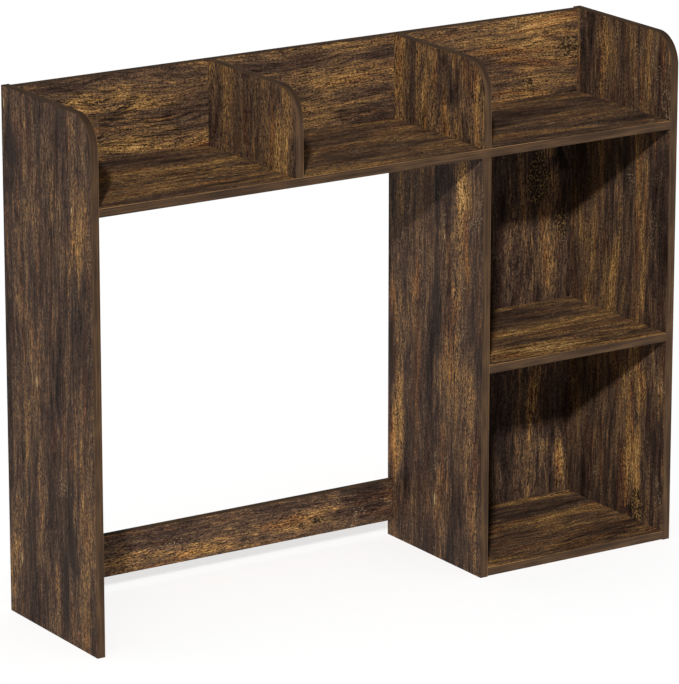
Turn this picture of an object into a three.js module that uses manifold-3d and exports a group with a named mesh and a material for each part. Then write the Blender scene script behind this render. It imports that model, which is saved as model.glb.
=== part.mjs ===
// Desk hutch: a flat-pack shelf unit that stands on a desk, made of half-inch laminated boards.
// Three uprights carry a full-width top shelf. Above it are three cubbies, split by two dividers
// and closed behind by a full-thickness board. Below it, on the right, is a tower of two
// compartments with a thin nailed back. The left part is open for a monitor and is braced by a
// low stretcher at the rear. The boards meet at cam locks and wooden dowels, and long screws
// hold the dividers.
//
// Everything is drawn in millimetres in a corner frame: X from the left outer face, Y from the
// front edges towards the rear, Z up from the desk. The outer group then moves the origin to the
// middle of the footprint.

import * as THREE from 'three';
import { mergeVertices } from 'three/addons/utils/BufferGeometryUtils.js';
import Module from 'manifold-3d';

const wasm = await Module();
wasm.setup();

// ---------------------------------------------------------------- driving dimensions

const WIDTH = 1000;
const HEIGHT = 780;
const DEPTH = 250;
const BOARD = 12.7;
const JOINT_GAP = 0.3;
const CORNER_RADIUS = 46;

const TOWER_SIDE_X = 653.4;
const LEFT_DIVIDER_X = 332.5;

const TOP_SHELF_Z = 638.8;
const MIDDLE_SHELF_Z = 312.9;
const BOTTOM_SHELF_Z = 1;

const DIVIDER_HEIGHT = 126.7;

const STRETCHER_Z = 26;
const STRETCHER_HEIGHT = 63.5;

const THIN_BACK = 2.7;
const THIN_BACK_INSET = 2.5;

// Cam lock, bolt, dowel and screw sizes for a half-inch board.
const CLEARANCE = 0.3;
const CAM_SETBACK = 24;
const CAM_RADIUS = 7.5;
const CAM_HEIGHT = 9.6;
const CAM_SUNK = 0.1;
const BOLT_BORE_RADIUS = 4;
const BOLT_THREAD_RADIUS = 3;
const BOLT_THREAD_LENGTH = 8.6;
const DOWEL_RADIUS = 3;
const DOWEL_IN_FACE = 9;
const DOWEL_IN_END = 21;
const SCREW_LENGTH = 38;
const SCREW_RADIUS = 1.75;
const SCREW_HEAD_RADIUS = 3.5;
const SCREW_HEAD_HEIGHT = 2;

// Rows of holes across the depth of a shelf, and heights of the two on a stretcher end.
const FRONT_ROW_Y = 37;
const MIDDLE_ROW_Y = DEPTH / 2;
const REAR_ROW_Y = DEPTH - 37;
const STRETCHER_DOWEL_UP = 15.75;
const STRETCHER_BOLT_UP = 47.75;
const LEFT_SCREW_ROWS = [60, 180];
const RIGHT_SCREW_ROWS = [75, 165];

const HOLE_SEGMENTS = 12;
const FASTENER_SEGMENTS = 8;
const CAM_SEGMENTS = 16;
const CORNER_SEGMENTS = 14;

// ---------------------------------------------------------------- derived places

const HALF_BOARD = BOARD / 2;
const RIGHT_SIDE_X = WIDTH - BOARD;
const TOWER_INNER_X = TOWER_SIDE_X + BOARD;
const TOP_SHELF_UPPER_Z = TOP_SHELF_Z + BOARD;
const CUBBY_BASE_Z = TOP_SHELF_UPPER_Z + JOINT_GAP;
const CUBBY_MIDDLE_Z = CUBBY_BASE_Z + DIVIDER_HEIGHT / 2;
const REAR_BOARD_Y = DEPTH - BOARD;
const REAR_ROW_OF_BACKS_Y = DEPTH - HALF_BOARD;
const DIVIDER_DEPTH = REAR_BOARD_Y - JOINT_GAP;
const TOWER_SIDE_HEIGHT = TOP_SHELF_Z - JOINT_GAP;
const OVERALL_DEPTH = DEPTH + JOINT_GAP + THIN_BACK;

const X = new THREE.Vector3(1, 0, 0);
const Y = new THREE.Vector3(0, 1, 0);
const Z = new THREE.Vector3(0, 0, 1);
const LEFT = X.clone().negate();
const FORWARD = Y.clone().negate();
const DOWN = Z.clone().negate();

// ---------------------------------------------------------------- materials

function finish(color, roughness, metalness) {
  return new THREE.MeshStandardMaterial({ color, roughness, metalness });
}

const finishes = {
  board: () => finish(0x5c4330, 0.6, 0),
  thinBack: () => finish(0x4d3828, 0.65, 0),
  camZinc: () => finish(0xa8a9a8, 0.4, 0.9),
  steel: () => finish(0xc3c0b4, 0.35, 1),
  beech: () => finish(0xc9a273, 0.7, 0),
};

// ---------------------------------------------------------------- solids

function toSolid(geometry) {
  const bare = geometry.clone();
  bare.deleteAttribute('normal');
  bare.deleteAttribute('uv');
  const merged = mergeVertices(bare, 1e-4);
  const mesh = new wasm.Mesh({
    numProp: 3,
    vertProperties: new Float32Array(merged.attributes.position.array),
    triVerts: new Uint32Array(merged.index.array),
  });
  return new wasm.Manifold(mesh);
}

function toGeometry(solid) {
  const mesh = solid.getMesh();
  const geometry = new THREE.BufferGeometry();
  geometry.setAttribute('position', new THREE.BufferAttribute(mesh.vertProperties, 3));
  geometry.setIndex(new THREE.BufferAttribute(mesh.triVerts, 1));
  geometry.computeVertexNormals();
  return geometry;
}

function subtractAll(geometry, cutters) {
  let solid = toSolid(geometry);
  for (const cutter of cutters) {
    solid = solid.subtract(toSolid(cutter));
  }
  return toGeometry(solid);
}

// A box from its low corner.
function boxFrom(low, size) {
  const box = new THREE.BoxGeometry(...size);
  return box.translate(low[0] + size[0] / 2, low[1] + size[1] / 2, low[2] + size[2] / 2);
}

// A plain rod or a cone along +Y, starting at the origin.
function rod(startRadius, endRadius, length, segments = HOLE_SEGMENTS) {
  const cylinder = new THREE.CylinderGeometry(endRadius, startRadius, length, segments);
  return cylinder.translate(0, length / 2, 0);
}

// The frame of a fastener: local Y along its direction, at a point of the object.
function along(point, direction) {
  const turn = new THREE.Quaternion().setFromUnitVectors(Y, direction);
  return new THREE.Matrix4().compose(point, turn, new THREE.Vector3(1, 1, 1));
}

// An upright board seen from the side, with its front top corner rounded.
function uprightGeometry(low, depth, height, radius) {
  const outline = new THREE.Shape();
  outline.moveTo(0, 0);
  outline.lineTo(depth, 0);
  outline.lineTo(depth, height);
  outline.lineTo(radius, height);
  outline.absarc(radius, height - radius, radius, Math.PI / 2, Math.PI, false);
  outline.closePath();
  const upright = new THREE.ExtrudeGeometry(outline, {
    depth: BOARD,
    bevelEnabled: false,
    curveSegments: CORNER_SEGMENTS,
  });
  upright.applyMatrix4(new THREE.Matrix4().makeBasis(Y, Z, X));
  return upright.translate(...low);
}

// ---------------------------------------------------------------- boards, before their holes

const fullSpan = WIDTH - 2 * BOARD - 2 * JOINT_GAP;
const towerSpan = RIGHT_SIDE_X - TOWER_INNER_X - 2 * JOINT_GAP;
const baySpan = TOWER_SIDE_X - BOARD - 2 * JOINT_GAP;

const boards = {
  left_side_panel: {
    low: [0, 0, 0],
    shape: (low) => uprightGeometry(low, DEPTH, HEIGHT, CORNER_RADIUS),
  },
  right_side_panel: {
    low: [RIGHT_SIDE_X, 0, 0],
    shape: (low) => uprightGeometry(low, DEPTH, HEIGHT, CORNER_RADIUS),
  },
  tower_side_panel: {
    low: [TOWER_SIDE_X, 0, 0],
    shape: (low) => boxFrom(low, [BOARD, DEPTH, TOWER_SIDE_HEIGHT]),
  },
  top_shelf: {
    low: [BOARD + JOINT_GAP, 0, TOP_SHELF_Z],
    shape: (low) => boxFrom(low, [fullSpan, DEPTH, BOARD]),
  },
  middle_shelf: {
    low: [TOWER_INNER_X + JOINT_GAP, 0, MIDDLE_SHELF_Z],
    shape: (low) => boxFrom(low, [towerSpan, DEPTH, BOARD]),
  },
  bottom_shelf: {
    low: [TOWER_INNER_X + JOINT_GAP, 0, BOTTOM_SHELF_Z],
    shape: (low) => boxFrom(low, [towerSpan, DEPTH, BOARD]),
  },
  left_divider: {
    low: [LEFT_DIVIDER_X, 0, CUBBY_BASE_Z],
    shape: (low) => uprightGeometry(low, DIVIDER_DEPTH, DIVIDER_HEIGHT, CORNER_RADIUS),
  },
  right_divider: {
    low: [TOWER_SIDE_X, 0, CUBBY_BASE_Z],
    shape: (low) => uprightGeometry(low, DIVIDER_DEPTH, DIVIDER_HEIGHT, CORNER_RADIUS),
  },
  upper_back_panel: {
    low: [BOARD + JOINT_GAP, REAR_BOARD_Y, CUBBY_BASE_Z],
    shape: (low) => boxFrom(low, [fullSpan, BOARD, DIVIDER_HEIGHT]),
  },
  rear_stretcher: {
    low: [BOARD + JOINT_GAP, REAR_BOARD_Y, STRETCHER_Z],
    shape: (low) => boxFrom(low, [baySpan, BOARD, STRETCHER_HEIGHT]),
  },
};

for (const board of Object.values(boards)) {
  board.cutters = [];
}

function cut(boardName, geometry, frame) {
  boards[boardName].cutters.push(geometry.clone().applyMatrix4(frame));
}

// ---------------------------------------------------------------- fasteners

const hutch = new THREE.Group();

function place(name, geometry, material, frame) {
  const mesh = new THREE.Mesh(geometry, material);
  mesh.name = name;
  mesh.applyMatrix4(frame);
  hutch.add(mesh);
}

// Lathe profile of a cam bolt: thread, collar, shank, neck and head.
function boltGeometry() {
  const neckStart = CAM_SETBACK - 8;
  const headStart = CAM_SETBACK - 3;
  const profile = [
    [0, -BOLT_THREAD_LENGTH],
    [BOLT_THREAD_RADIUS - 0.8, -BOLT_THREAD_LENGTH],
    [BOLT_THREAD_RADIUS, -BOLT_THREAD_LENGTH + 1],
    [BOLT_THREAD_RADIUS, JOINT_GAP],
    [BOLT_THREAD_RADIUS + 0.5, JOINT_GAP],
    [BOLT_THREAD_RADIUS + 0.5, 1.6],
    [2.6, 1.6],
    [2.6, neckStart],
    [1.8, neckStart + 0.8],
    [1.8, headStart],
    [3.2, headStart + 0.6],
    [3.2, CAM_SETBACK],
    [0, CAM_SETBACK],
  ];
  const points = profile.map(([radius, height]) => new THREE.Vector2(radius, height));
  return new THREE.LatheGeometry(points, FASTENER_SEGMENTS);
}

// A cam: a short drum whose mouth face looks along local Y. Its side has a chamber for the
// bolt's head, entered along local X by a narrower slot, and its face has a cross recess.
function camGeometry() {
  const top = HALF_BOARD - CAM_SUNK;
  const bottom = top - CAM_HEIGHT;
  const below = bottom - 1;
  const chamberTop = 3.6;
  const recessDepth = 2;
  const drum = new THREE.CylinderGeometry(CAM_RADIUS, CAM_RADIUS, CAM_HEIGHT, CAM_SEGMENTS);
  drum.translate(0, (top + bottom) / 2, 0);
  const chamber = boxFrom([-1.2, below, -3.9], [5, chamberTop - below, 7.8]);
  const slot = boxFrom([3, below, -2.3], [CAM_RADIUS, 2.6 - below, 4.6]);
  const recessLow = top - recessDepth;
  const crossAlong = boxFrom([-4, recessLow, -0.7], [8, recessDepth + 1, 1.4]);
  const crossOver = boxFrom([-0.7, recessLow, -4], [1.4, recessDepth + 1, 8]);
  return subtractAll(drum, [chamber, slot, crossAlong, crossOver]);
}

function dowelGeometry() {
  const chamfer = 1;
  const profile = [
    [0, -DOWEL_IN_FACE],
    [DOWEL_RADIUS - chamfer, -DOWEL_IN_FACE],
    [DOWEL_RADIUS, -DOWEL_IN_FACE + chamfer],
    [DOWEL_RADIUS, DOWEL_IN_END - chamfer],
    [DOWEL_RADIUS - chamfer, DOWEL_IN_END],
    [0, DOWEL_IN_END],
  ];
  const points = profile.map(([radius, height]) => new THREE.Vector2(radius, height));
  return new THREE.LatheGeometry(points, FASTENER_SEGMENTS);
}

// A countersunk screw: its head is at the origin and its point is at the far end.
function screwGeometry() {
  const pointLength = 4;
  const profile = [
    [0, CAM_SUNK],
    [SCREW_HEAD_RADIUS, CAM_SUNK],
    [SCREW_RADIUS, CAM_SUNK + SCREW_HEAD_HEIGHT],
    [SCREW_RADIUS, SCREW_LENGTH - pointLength],
    [0.4, SCREW_LENGTH],
    [0, SCREW_LENGTH],
  ];
  const points = profile.map(([radius, height]) => new THREE.Vector2(radius, height));
  return new THREE.LatheGeometry(points, FASTENER_SEGMENTS);
}

const boltShape = boltGeometry();
const camShape = camGeometry();
const dowelShape = dowelGeometry();
const screwShape = screwGeometry();

const boltFaceHole = rod(
  BOLT_THREAD_RADIUS + CLEARANCE,
  BOLT_THREAD_RADIUS + CLEARANCE,
  BOLT_THREAD_LENGTH + 2 * CLEARANCE,
);
const boltBore = rod(BOLT_BORE_RADIUS, BOLT_BORE_RADIUS, CAM_SETBACK);
const camPocket = rod(
  CAM_RADIUS + CLEARANCE,
  CAM_RADIUS + CLEARANCE,
  CAM_HEIGHT + CAM_SUNK + CLEARANCE + 1,
  CAM_SEGMENTS,
);
const dowelFaceHole = rod(
  DOWEL_RADIUS + CLEARANCE,
  DOWEL_RADIUS + CLEARANCE,
  DOWEL_IN_FACE + CLEARANCE,
);
const dowelEndHole = rod(
  DOWEL_RADIUS + CLEARANCE,
  DOWEL_RADIUS + CLEARANCE,
  DOWEL_IN_END + CLEARANCE,
);
const screwHole = rod(
  SCREW_RADIUS + CLEARANCE,
  SCREW_RADIUS + CLEARANCE,
  SCREW_LENGTH + 2 * CLEARANCE,
);
const screwSink = rod(
  SCREW_HEAD_RADIUS + 3 * CLEARANCE,
  SCREW_RADIUS + CLEARANCE,
  SCREW_HEAD_HEIGHT + 3 * CLEARANCE,
);

// A cam joint. The bolt is screwed into the face board at the point. It stands out along
// inward, into the end of the cam board, whose pocket opens towards mouth.
function camJoint(name, faceBoard, camBoard, point, inward, mouth) {
  const outward = inward.clone().negate();
  const boltFrame = along(point, inward);
  cut(faceBoard, boltFaceHole, along(point, outward));
  cut(camBoard, boltBore, boltFrame);
  const centre = point.clone().addScaledVector(inward, CAM_SETBACK);
  const pocketTop = centre.clone().addScaledVector(mouth, HALF_BOARD + 1);
  cut(camBoard, camPocket, along(pocketTop, mouth.clone().negate()));
  place(`cam_bolt_${name}`, boltShape, finishes.steel(), boltFrame);
  const sideways = new THREE.Vector3().crossVectors(outward, mouth);
  const camFrame = new THREE.Matrix4().makeBasis(outward, mouth, sideways);
  camFrame.setPosition(centre);
  place(`cam_lock_${name}`, camShape, finishes.camZinc(), camFrame);
}

function dowelJoint(name, faceBoard, endBoard, point, inward) {
  const frame = along(point, inward);
  cut(faceBoard, dowelFaceHole, along(point, inward.clone().negate()));
  cut(endBoard, dowelEndHole, frame);
  place(`dowel_${name}`, dowelShape, finishes.beech(), frame);
}

// A screw through one board into the end of another, with its head sunk at the point.
function screwJoint(name, outerBoard, innerBoard, point, inward) {
  const frame = along(point, inward);
  cut(outerBoard, screwSink, frame);
  cut(outerBoard, screwHole, frame);
  cut(innerBoard, screwHole, frame);
  place(`screw_${name}`, screwShape, finishes.steel(), frame);
}

// Each end of a shelf: two cams underneath and a dowel between them.
function shelfEnd(name, faceBoard, shelf, faceX, inward) {
  const middleZ = boards[shelf].low[2] + HALF_BOARD;
  const at = (y) => new THREE.Vector3(faceX, y, middleZ);
  camJoint(`${name}_front`, faceBoard, shelf, at(FRONT_ROW_Y), inward, DOWN);
  camJoint(`${name}_rear`, faceBoard, shelf, at(REAR_ROW_Y), inward, DOWN);
  dowelJoint(name, faceBoard, shelf, at(MIDDLE_ROW_Y), inward);
}

shelfEnd('top_shelf_left', 'left_side_panel', 'top_shelf', BOARD, X);
shelfEnd('top_shelf_right', 'right_side_panel', 'top_shelf', RIGHT_SIDE_X, LEFT);
shelfEnd('middle_shelf_left', 'tower_side_panel', 'middle_shelf', TOWER_INNER_X, X);
shelfEnd('middle_shelf_right', 'right_side_panel', 'middle_shelf', RIGHT_SIDE_X, LEFT);
shelfEnd('bottom_shelf_left', 'tower_side_panel', 'bottom_shelf', TOWER_INNER_X, X);
shelfEnd('bottom_shelf_right', 'right_side_panel', 'bottom_shelf', RIGHT_SIDE_X, LEFT);

// The tower's side hangs under the top shelf: its cams open into the tower.
const towerTop = (y) => new THREE.Vector3(TOWER_SIDE_X + HALF_BOARD, y, TOP_SHELF_Z);
camJoint('tower_top_front', 'top_shelf', 'tower_side_panel', towerTop(FRONT_ROW_Y), DOWN, X);
camJoint('tower_top_rear', 'top_shelf', 'tower_side_panel', towerTop(REAR_ROW_Y), DOWN, X);
dowelJoint('tower_top', 'top_shelf', 'tower_side_panel', towerTop(MIDDLE_ROW_Y), DOWN);

// Each end of the stretcher: a cam that opens to the rear, above a dowel.
function stretcherEnd(name, faceBoard, faceX, inward) {
  const at = (up) => new THREE.Vector3(faceX, REAR_ROW_OF_BACKS_Y, STRETCHER_Z + up);
  camJoint(name, faceBoard, 'rear_stretcher', at(STRETCHER_BOLT_UP), inward, Y);
  dowelJoint(name, faceBoard, 'rear_stretcher', at(STRETCHER_DOWEL_UP), inward);
}

stretcherEnd('stretcher_left', 'left_side_panel', BOARD, X);
stretcherEnd('stretcher_right', 'tower_side_panel', TOWER_SIDE_X, LEFT);

// The upper back: one dowel into each side panel.
const upperBackEnd = (x) => new THREE.Vector3(x, REAR_ROW_OF_BACKS_Y, CUBBY_MIDDLE_Z);
dowelJoint('upper_back_left', 'left_side_panel', 'upper_back_panel', upperBackEnd(BOARD), X);
dowelJoint(
  'upper_back_right', 'right_side_panel', 'upper_back_panel', upperBackEnd(RIGHT_SIDE_X), LEFT,
);

// Each divider: two screws up through the top shelf, and one through the upper back.
function dividerScrews(divider, rows) {
  const middleX = boards[divider].low[0] + HALF_BOARD;
  const ends = ['front', 'rear'];
  rows.forEach((y, index) => {
    const underShelf = new THREE.Vector3(middleX, y, TOP_SHELF_Z);
    screwJoint(`${divider}_${ends[index]}`, 'top_shelf', divider, underShelf, Z);
  });
  const behind = new THREE.Vector3(middleX, DEPTH, CUBBY_MIDDLE_Z);
  screwJoint(`${divider}_back`, 'upper_back_panel', divider, behind, FORWARD);
}

dividerScrews('left_divider', LEFT_SCREW_ROWS);
dividerScrews('right_divider', RIGHT_SCREW_ROWS);

// ---------------------------------------------------------------- boards, with their holes

for (const [name, board] of Object.entries(boards)) {
  const drilled = subtractAll(board.shape(board.low), board.cutters);
  const corner = new THREE.Vector3(...board.low);
  drilled.translate(-corner.x, -corner.y, -corner.z);
  const frame = new THREE.Matrix4().makeTranslation(corner);
  place(name, drilled, finishes.board(), frame);
}

// The tower's thin back lies on the rear edges of the boards around it, short of their outer faces.
const thinBackLow = new THREE.Vector3(
  TOWER_SIDE_X + THIN_BACK_INSET,
  DEPTH + JOINT_GAP,
  THIN_BACK_INSET,
);
const thinBackSize = [
  WIDTH - THIN_BACK_INSET - thinBackLow.x,
  THIN_BACK,
  TOP_SHELF_UPPER_Z - 2 * THIN_BACK_INSET,
];
place(
  'tower_back_panel',
  boxFrom([0, 0, 0], thinBackSize),
  finishes.thinBack(),
  new THREE.Matrix4().makeTranslation(thinBackLow),
);

// ---------------------------------------------------------------- origin under the middle

hutch.position.set(-WIDTH / 2, -OVERALL_DEPTH / 2, 0);
const group = new THREE.Group();
group.add(hutch);

export default group;
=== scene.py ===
# %% [markdown]
# # A desk hutch in rustic printed board
#
# This lesson dresses a flat-pack desk hutch. Its boards are chipboard, half an inch thick, with
# a printed paper face and a plain brown band glued on the edges that show. Cam locks, dowels and
# screws hold the boards, and a thin hardboard back is nailed behind the tower.
#
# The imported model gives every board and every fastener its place. The script loads it first and
# never moves it: each finer piece is built around the boxes that it reads there. Lengths are in
# metres, X runs along the desk, Y runs to the rear and Z points up.

# %% The fixed frame
import math

import bmesh
import bpy
from mathutils import Matrix, Vector


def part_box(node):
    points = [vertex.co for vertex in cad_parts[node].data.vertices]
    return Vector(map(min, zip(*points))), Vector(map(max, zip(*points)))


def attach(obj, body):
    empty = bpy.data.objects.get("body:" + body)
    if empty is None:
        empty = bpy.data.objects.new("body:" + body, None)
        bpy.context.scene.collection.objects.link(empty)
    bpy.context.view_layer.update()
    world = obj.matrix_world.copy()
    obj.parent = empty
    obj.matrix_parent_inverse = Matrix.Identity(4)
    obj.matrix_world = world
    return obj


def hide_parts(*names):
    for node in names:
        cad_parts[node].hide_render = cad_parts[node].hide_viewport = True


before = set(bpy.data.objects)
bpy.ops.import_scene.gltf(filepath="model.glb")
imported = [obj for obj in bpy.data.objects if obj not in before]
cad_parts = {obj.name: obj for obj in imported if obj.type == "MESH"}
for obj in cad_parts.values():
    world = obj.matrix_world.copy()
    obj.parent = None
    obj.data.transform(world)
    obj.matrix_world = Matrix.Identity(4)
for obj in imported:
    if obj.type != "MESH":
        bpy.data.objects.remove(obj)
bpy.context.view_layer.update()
MM = 0.001
BOARD = 12.7 * MM
HALF_BOARD = BOARD / 2
print("nodes in the frame:", len(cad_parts))

# %% [markdown]
# ## The camera
#
# The hutch is seen from the left, a little above its top. A long lens far away keeps the upright
# boards nearly parallel, as a maker's catalogue picture does. The lens has no shift, so the same
# camera can be walked round the object.

# %% The camera
VIEW_YAW = math.radians(32.8)
VIEW_DROP = math.radians(15.886)

camera_data = bpy.data.cameras.new("catalogue_camera")
camera_data.lens = 251.6
camera_data.sensor_width = 36.0
camera_data.clip_end = 200.0
camera = bpy.data.objects.new("catalogue_camera", camera_data)
camera.location = (-3.6544, -5.6499, 2.2715)
camera.rotation_euler = (math.pi / 2 - VIEW_DROP, 0.0, -VIEW_YAW)
bpy.context.scene.collection.objects.link(camera)
bpy.context.scene.camera = camera
print("camera stands", round(camera.location.length, 2), "m away")

# %% [markdown]
# ## Helpers for node trees
#
# A material and a Geometry Nodes set are both trees of nodes. One short function that makes a
# node, sets it and plugs in its inputs keeps the trees readable in a script: a value goes into
# the socket's field, and another node's socket becomes a link.

# %% One helper for every node
def feed(tree, socket, value):
    """Link another node's socket, or fill in a plain value."""
    if isinstance(value, bpy.types.NodeSocket):
        tree.links.new(value, socket)
    else:
        socket.default_value = value


def add_node(tree, kind, inputs=None, **settings):
    node = tree.nodes.new(kind)
    for name, value in settings.items():
        setattr(node, name, value)
    for key, value in (inputs or {}).items():
        feed(tree, node.inputs[key], value)
    return node


def calculate(tree, operation, first, second=0.0, third=0.0):
    values = {0: first, 1: second, 2: third}
    return add_node(tree, "ShaderNodeMath", values, operation=operation).outputs[0]


def add(tree, first, second):
    return calculate(tree, "ADD", first, second)


def multiply(tree, first, second):
    return calculate(tree, "MULTIPLY", first, second)


def combine(tree, operation, first, second):
    """Vector maths on two vectors. Only the dot product gives a number."""
    node = add_node(tree, "ShaderNodeVectorMath", {0: first, 1: second}, operation=operation)
    return node.outputs["Value" if operation == "DOT_PRODUCT" else "Vector"]


def stretch_vector(tree, vector, factor):
    """A vector or colour times one number."""
    values = {0: vector, "Scale": factor}
    return add_node(tree, "ShaderNodeVectorMath", values, operation="SCALE").outputs[0]


def ease(tree, value, start, end, low=0.0, high=1.0):
    """A smooth step: low until start, high after end."""
    inputs = {"Value": value, "From Min": start, "From Max": end, "To Min": low, "To Max": high}
    return add_node(tree, "ShaderNodeMapRange", inputs, interpolation_type="SMOOTHSTEP").outputs[0]


def rgb(red, green, blue):
    """A screen colour, 0 to 255, as the linear colour that nodes expect."""
    def linear(value):
        value /= 255.0
        return value / 12.92 if value <= 0.04045 else ((value + 0.055) / 1.055) ** 2.4
    return (linear(red), linear(green), linear(blue), 1.0)


print("white becomes", rgb(255, 255, 255))

# %% [markdown]
# ## Light and floor
#
# One key light from the left front, fairly low, draws the crisp dark shadows inside the
# compartments, and a pale world fills them a little. A white floor under such a key would show a
# long dark shadow, so the key is linked to the hutch alone: a collection says which objects a
# light may reach. The floor takes its own light from above, which casts no shadow and keeps the
# floor an even white. A second weak key reaches the floor, and there only the stretcher blocks
# it, which leaves a soft pale strip behind the stretcher.

# %% Key light, fill and floor
KEY_TRAVEL = Vector((0.75, 1.0, -0.75))
KEY_STRENGTH, KEY_SPREAD = 3.45, 3.0
FLOOR_TRAVEL = Vector((0.1, 0.25, -1.0))
FLOOR_STRENGTH, FLOOR_SPREAD = 2.25, 50.0
STRIP_STRENGTH, STRIP_SPREAD = 1.3, 9.0
WORLD_FILL = 0.20
WHITE = (1.0, 1.0, 1.0, 1.0)
FLOOR_WHITE = (0.95, 0.95, 0.95, 1.0)
FLOOR_HALF = 30.0

lit_by_key = bpy.data.collections.new("lit_by_key")
lit_floor = bpy.data.collections.new("lit_floor")
shades_floor = bpy.data.collections.new("shades_floor")


def add_sun(name, travel, strength, spread, receivers):
    """A sun that shines along travel. Its spread, in degrees, softens the shadows."""
    light = bpy.data.lights.new(name, "SUN")
    light.energy = strength
    light.angle = math.radians(spread)
    lamp = bpy.data.objects.new(name, light)
    lamp.rotation_euler = travel.to_track_quat("-Z", "Y").to_euler()
    bpy.context.scene.collection.objects.link(lamp)
    lamp.light_linking.receiver_collection = receivers
    return lamp


key_lamp = add_sun("key_light", KEY_TRAVEL, KEY_STRENGTH, KEY_SPREAD, lit_by_key)
floor_lamp = add_sun("floor_light", FLOOR_TRAVEL, FLOOR_STRENGTH, FLOOR_SPREAD, lit_floor)
floor_lamp.data.use_shadow = False
strip_lamp = add_sun("floor_key_light", KEY_TRAVEL, STRIP_STRENGTH, STRIP_SPREAD, lit_floor)
strip_lamp.light_linking.blocker_collection = shades_floor

world = bpy.data.worlds.new("pale_room")
world.use_nodes = True
room = world.node_tree
room.nodes.clear()
straight = add_node(room, "ShaderNodeLightPath").outputs["Is Camera Ray"]
fill = add_node(room, "ShaderNodeBackground", {"Color": WHITE, "Strength": WORLD_FILL}).outputs[0]
paper = add_node(room, "ShaderNodeBackground", {"Color": WHITE}).outputs[0]
seen = add_node(room, "ShaderNodeMixShader", {0: straight, 1: fill, 2: paper}).outputs[0]
add_node(room, "ShaderNodeOutputWorld", {"Surface": seen})
bpy.context.scene.world = world
bpy.context.scene.view_settings.view_transform = "Standard"

floor_mesh = bpy.data.meshes.new("floor")
corners = [(x * FLOOR_HALF, y * FLOOR_HALF, 0.0) for x, y in ((-1, -1), (1, -1), (1, 1), (-1, 1))]
floor_mesh.from_pydata(corners, [], [(0, 1, 2, 3)])
floor = bpy.data.objects.new("floor", floor_mesh)
bpy.context.scene.collection.objects.link(floor)
lit_floor.objects.link(floor)
floor_paint = bpy.data.materials.new("floor_white")
floor_paint.use_nodes = True
for socket, value in (("Base Color", FLOOR_WHITE), ("Roughness", 0.9)):
    floor_paint.node_tree.nodes["Principled BSDF"].inputs[socket].default_value = value
floor_mesh.materials.append(floor_paint)
print("lights:", key_lamp.name, floor_lamp.name, strip_lamp.name)

# %% [markdown]
# ## Helpers for patterns
#
# Every finish here starts from noise: a smooth random value that is stretched to long marks, as
# grain is. A ramp turns the value into colours, a blend lays one colour over another, and the
# last helper hands the results to the material's shader. A bump makes the surface look slightly
# uneven without adding any faces to it.

# %% Noise, ramps, blends and materials
def noise(tree, place, stretch, detail=2.0, offset=0.0, roughness=0.5):
    """Noise about 0.5 whose marks are 1/stretch metres long, wide and, if given, high."""
    moved = combine(tree, "MULTIPLY", place, (*stretch, 1.0)[:3])
    if offset:
        moved = combine(tree, "ADD", moved, (offset, offset * 0.37, offset * 1.7))
    inputs = {"Vector": moved, "Scale": 1.0, "Detail": detail, "Roughness": roughness}
    return add_node(tree, "ShaderNodeTexNoise", inputs).outputs[0]


def centred(tree, value, gain):
    """A noise value as plus or minus about half the gain."""
    return calculate(tree, "MULTIPLY_ADD", value, gain, -0.5 * gain)


def new_material(name, uv_map=None):
    """A material, its tree, its shader and the place that its patterns read."""
    material = bpy.data.materials.new(name)
    material.use_nodes = True
    tree = material.node_tree
    if uv_map:
        place = add_node(tree, "ShaderNodeUVMap", uv_map=uv_map).outputs[0]
    else:
        place = add_node(tree, "ShaderNodeTexCoord").outputs["Object"]
    return material, tree, tree.nodes["Principled BSDF"], place


def paint(tree, shader, values, height, strength, distance):
    """Give the shader its values by name, and a bump."""
    bump = {"Height": height, "Strength": strength, "Distance": distance}
    bump = add_node(tree, "ShaderNodeBump", bump).outputs[0]
    for name, value in (*values.items(), ("Normal", bump)):
        feed(tree, shader.inputs[name], value)


def ramp(tree, value, stops):
    """A colour ramp: stops are pairs of position and colour."""
    node = add_node(tree, "ShaderNodeValToRGB", {0: value})
    elements = node.color_ramp.elements
    elements[0].position, elements[0].color = stops[0]
    elements[1].position, elements[1].color = stops[-1]
    for position, colour in stops[1:-1]:
        elements.new(position).color = colour
    return node.outputs[0]


def blend_colour(tree, amount, first, second, how="MIX"):
    """Inputs 6 and 7 and output 2 are the Mix node's colour sockets."""
    return add_node(tree, "ShaderNodeMix", {0: amount, 6: first, 7: second},
                    data_type="RGBA", blend_type=how).outputs[2]


print("pattern helpers ready")

# %% [markdown]
# ## The printed face
#
# The face of each board is a printed paper that imitates old scorched pine. Its look has layers,
# from large to small: dark and amber zones as long as a hand, bands as wide as a finger, streaks
# a few millimetres across, fibres and specks thinner than that. Noise stretched along the grain
# gives each layer, and a colour ramp turns their sum into colour, from near black to gold. The
# finest layers also make the colour darker or brighter by themselves, as printed dots do. Last
# come the things that lie on the grain: black cracks, pale flecks and peeled bark.
#
# All of it reads the board's own UV map, where U is the distance along the grain and V the
# distance across it, both in metres, so every layer has its real size.

# %% The rustic print as one node group
PRINT_COLOURS = [
    (0.00, rgb(22, 16, 13)),
    (0.16, rgb(44, 33, 28)),
    (0.32, rgb(63, 48, 39)),
    (0.46, rgb(85, 65, 49)),
    (0.60, rgb(107, 80, 53)),
    (0.74, rgb(131, 97, 56)),
    (0.88, rgb(150, 114, 67)),
    (1.00, rgb(174, 137, 86)),
]
RED_CAST, COLD_BROWN = rgb(232, 190, 176), rgb(44, 37, 32)
CRACK_BLACK, FLECK_CREAM = rgb(22, 16, 13), rgb(205, 178, 138)
BARK_BLACK, BARK_CREAM = rgb(24, 18, 14), rgb(150, 118, 74)

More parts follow.
